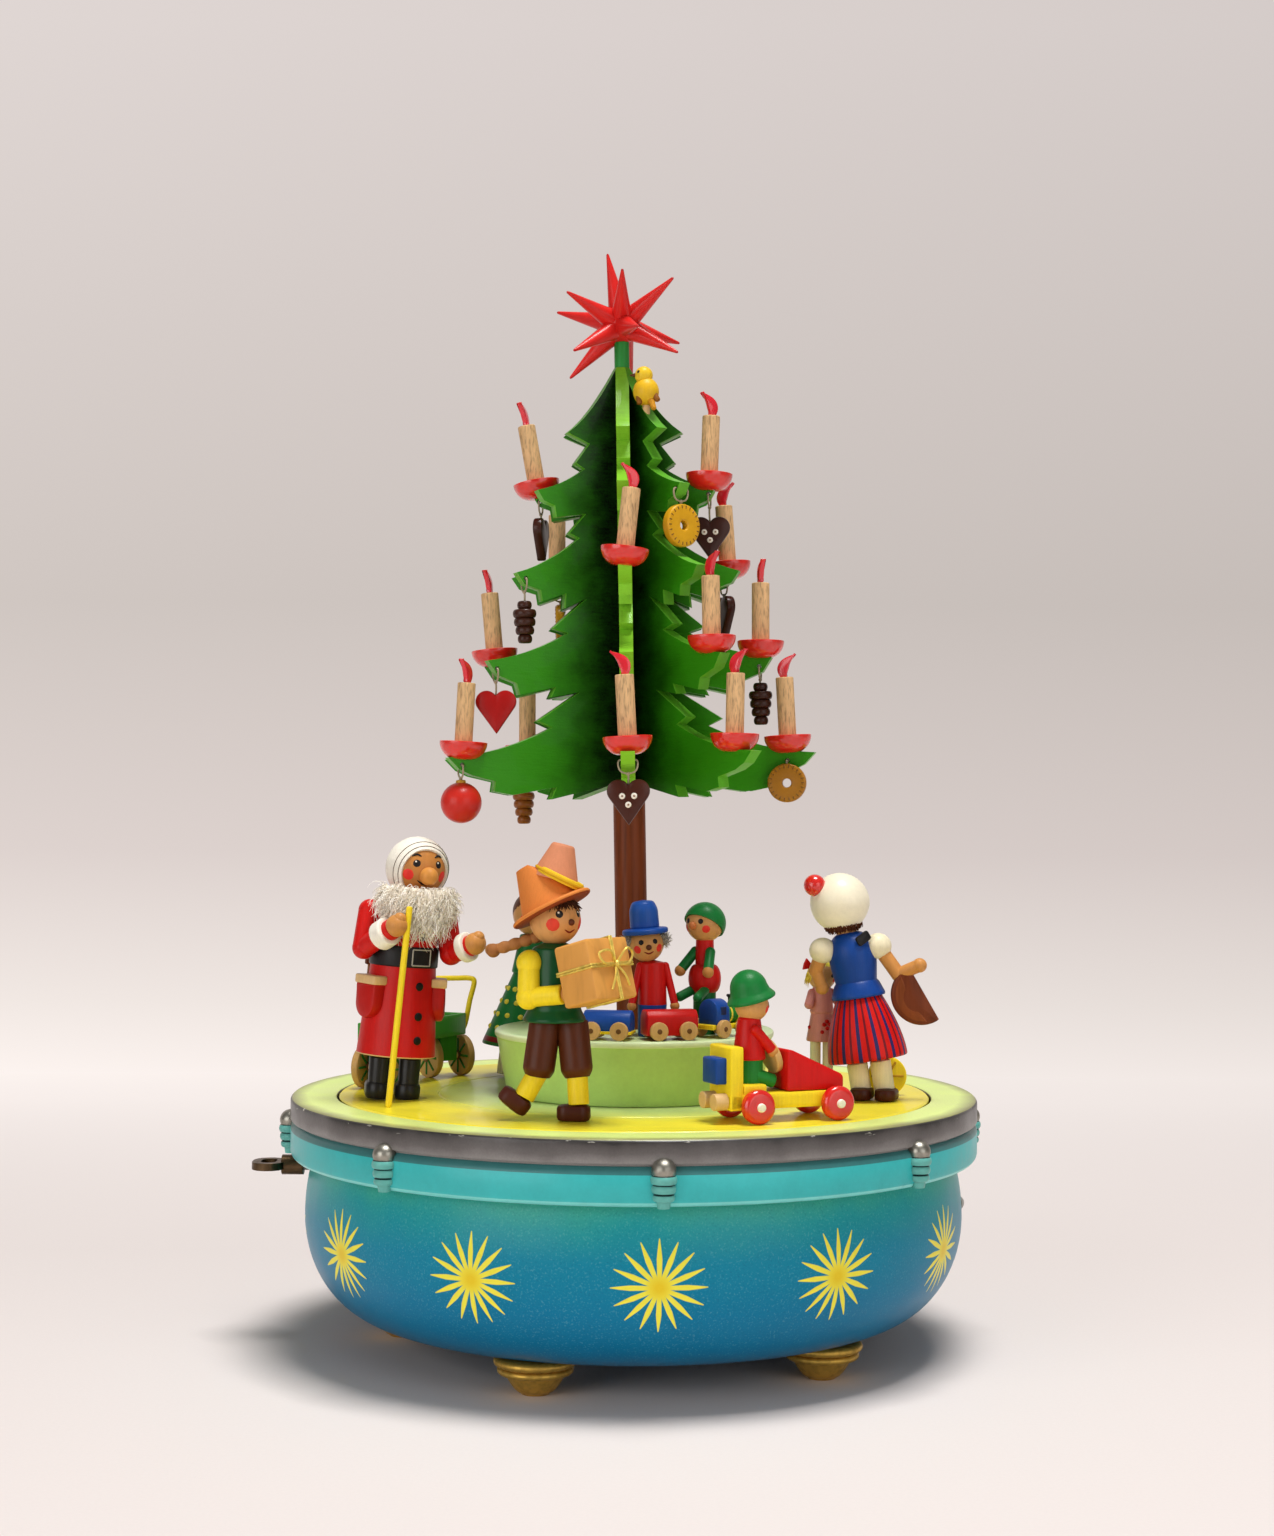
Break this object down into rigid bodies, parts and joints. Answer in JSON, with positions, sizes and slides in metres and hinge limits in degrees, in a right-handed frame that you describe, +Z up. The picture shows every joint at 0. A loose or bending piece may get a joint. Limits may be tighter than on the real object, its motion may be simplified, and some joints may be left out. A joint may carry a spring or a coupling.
{
  "type": "music box",
  "caption": "Wind-up wooden music box: a painted bowl with a turntable that carries a candle tree, hanging ornaments and painted toy figures",
  "frame": {"origin": "on the turning axis, on the table plane under the feet", "axes": "+Z up along the turning axis, -Y the front, the winding key at -X"},
  "size_m": [0.2367, 0.227, 0.3525],
  "materials": {
    "turquoise_paint": "satin paint on turned wood, pale at the top and deeper below, with painted stars",
    "gold_paint": "dull gold paint on turned wood",
    "grey_paint": "dark grey paint on the edge, pale green on top",
    "plain_wood": "bare wood, clear varnish",
    "brass": "machined",
    "cast_metal": "plated casting",
    "steel": "ground",
    "bronze": "dark bronzed",
    "plate_paint": "satin paint, with a bright yellow ring",
    "pedestal_paint": "satin paint",
    "trunk_wood": "brown stained",
    "green_paint": "airbrushed green faces with light sawn edges",
    "red_paint": "gloss paint",
    "yellow_paint": "satin paint",
    "black_paint": "satin paint",
    "face_wood": "clear varnish with painted faces",
    "wool": "loose wool",
    "leaf_paint": "satin paint",
    "dark_brown_paint": "satin paint",
    "amber_paint": "gloss stain",
    "mixed_paint": "toys painted in several colours"
  },
  "bodies": {
    "base": {"bowl": "turquoise_paint", "feet": "gold_paint", "hoop": "turquoise_paint", "lugs": "turquoise_paint", "rim": "grey_paint", "spindle_bridge": "plain_wood", "spindle_bush": "brass", "bedplate": "cast_metal", "comb": "steel", "movement_screws": "steel"},
    "key": {"winding_key": "bronze", "winding_arbor": "steel"},
    "barrel": {"spring_barrel": "brass"},
    "cylinder": {"pinned_cylinder": "brass"},
    "fan": {"governor": "brass"},
    "stop": {"stop_wire": "steel"},
    "turntable": {"turntable": "plate_paint", "spindle": "steel", "pedestal": "pedestal_paint", "trunk": "trunk_wood", "tree_boards": "green_paint", "star_finial": "red_paint", "candle_sticks": "plain_wood", "candle_trim": "red_paint", "bird": "yellow_paint", "father_coat": "red_paint", "father_boots": "black_paint", "father_arms": "red_paint", "father_head": "face_wood", "father_beard": "wool", "father_staff": "yellow_paint", "cart_body": "leaf_paint", "cart_wheels": "plain_wood", "child_body": "leaf_paint", "child_legs": "dark_brown_paint", "child_arms": "yellow_paint", "child_head": "face_wood", "child_parcel": "plain_wood", "car_chassis": "yellow_paint", "car_bonnet": "red_paint", "car_wheels": "red_paint", "driver": "mixed_paint", "girl_dress": "red_paint", "girl_limbs": "face_wood", "girl_head": "face_wood", "girl_doll": "mixed_paint", "toy_train": "mixed_paint", "small_dolls": "mixed_paint"},
    "ornament_ball": {"ornament_ball": "red_paint"},
    "ornament_red_heart": {"ornament_red_heart": "red_paint"},
    "ornament_left_cone": {"ornament_left_cone": "dark_brown_paint"},
    "ornament_left_heart": {"ornament_left_heart": "dark_brown_paint"},
    "ornament_brown_cone": {"ornament_brown_cone": "amber_paint"},
    "ornament_ring": {"ornament_ring": "amber_paint"},
    "ornament_dotted_heart": {"ornament_dotted_heart": "dark_brown_paint"},
    "ornament_upper_donut": {"ornament_upper_donut": "amber_paint"},
    "ornament_dark_heart": {"ornament_dark_heart": "dark_brown_paint"},
    "ornament_edge_disc": {"ornament_edge_disc": "dark_brown_paint"},
    "ornament_right_cone": {"ornament_right_cone": "dark_brown_paint"},
    "ornament_lower_donut": {"ornament_lower_donut": "amber_paint"}
  },
  "joints": [
    {"name": "turntable_spin", "type": "hinge", "parent": "base", "child": "turntable", "pos_m": [0, 0, 0.08], "axis": [0, 0, 1], "continuous": true},
    {"name": "key_wind", "type": "hinge", "parent": "base", "child": "key", "pos_m": [-0.1, 0, 0.05595], "axis": [1, 0, 0], "continuous": true},
    {"name": "barrel_spin", "type": "hinge", "parent": "base", "child": "barrel", "pos_m": [-0.05, 0, 0.05595], "axis": [1, 0, 0], "continuous": true},
    {"name": "cylinder_spin", "type": "hinge", "parent": "base", "child": "cylinder", "pos_m": [-0.07, 0.01596, 0.04519], "axis": [1, 0, 0], "continuous": true},
    {"name": "fan_spin", "type": "hinge", "parent": "base", "child": "fan", "pos_m": [-0.07, 0.02198, 0.05562], "axis": [1, 0, 0], "continuous": true},
    {"name": "stop_push", "type": "slide", "parent": "base", "child": "stop", "axis": [-1, 0, 0], "range_m": [0, 0.002]},
    {"name": "ball_swing", "type": "hinge", "parent": "turntable", "child": "ornament_ball", "pos_m": [-0.0554, -0.01932, 0.18512], "axis": [0.3419, -0.9397, 0.0075], "range_deg": [-8, 8]},
    {"name": "red_heart_swing", "type": "hinge", "parent": "turntable", "child": "ornament_red_heart", "pos_m": [-0.04479, -0.01522, 0.21585], "axis": [0.3419, -0.9397, 0.0075], "range_deg": [-4, 7]},
    {"name": "left_cone_swing", "type": "hinge", "parent": "turntable", "child": "ornament_left_cone", "pos_m": [-0.03603, -0.0118, 0.24495], "axis": [0.3419, -0.9397, 0.0075], "range_deg": [-8, 8]},
    {"name": "left_heart_swing", "type": "hinge", "parent": "turntable", "child": "ornament_left_heart", "pos_m": [-0.03157, 0.00483, 0.27186], "axis": [-0.1736, -0.9848, -0.0038], "range_deg": [-7, 7]},
    {"name": "brown_cone_swing", "type": "hinge", "parent": "turntable", "child": "ornament_brown_cone", "pos_m": [-0.03863, 0.04328, 0.18548], "axis": [-0.7659, -0.6428, -0.0167], "range_deg": [-8, 8]},
    {"name": "ring_swing", "type": "hinge", "parent": "turntable", "child": "ornament_ring", "pos_m": [-0.02579, 0.02643, 0.24518], "axis": [-0.7659, -0.6428, -0.0167], "range_deg": [-5, 5]},
    {"name": "dotted_heart_swing", "type": "hinge", "parent": "turntable", "child": "ornament_dotted_heart", "pos_m": [-0.00232, -0.0565, 0.18627], "axis": [0.9998, 0, 0.0218], "range_deg": [-8, 8]},
    {"name": "upper_donut_swing", "type": "hinge", "parent": "turntable", "child": "ornament_upper_donut", "pos_m": [0.01379, -0.02145, 0.27295], "axis": [0.7659, 0.6428, 0.0167], "range_deg": [-8, 8]},
    {"name": "dark_heart_swing", "type": "hinge", "parent": "turntable", "child": "ornament_dark_heart", "pos_m": [0.02336, -0.00486, 0.27326], "axis": [0.1736, 0.9848, 0.0038], "range_deg": [-8, 2]},
    {"name": "edge_disc_swing", "type": "hinge", "parent": "turntable", "child": "ornament_edge_disc", "pos_m": [0.0288, 0.0118, 0.24637], "axis": [-0.3419, 0.9397, -0.0075], "range_deg": [-8, 8]},
    {"name": "right_cone_swing", "type": "hinge", "parent": "turntable", "child": "ornament_right_cone", "pos_m": [0.03985, -0.00755, 0.2175], "axis": [0.1736, 0.9848, 0.0038], "range_deg": [-8, 8]},
    {"name": "lower_donut_swing", "type": "hinge", "parent": "turntable", "child": "ornament_lower_donut", "pos_m": [0.04888, -0.00903, 0.18729], "axis": [0.1736, 0.9848, 0.0038], "range_deg": [-8, 8]}
  ],
  "couplings": [
    {"joint": "barrel_spin", "follows": "turntable_spin", "ratio": 2},
    {"joint": "cylinder_spin", "follows": "turntable_spin", "ratio": -6},
    {"joint": "fan_spin", "follows": "turntable_spin", "ratio": 18}
  ]
}
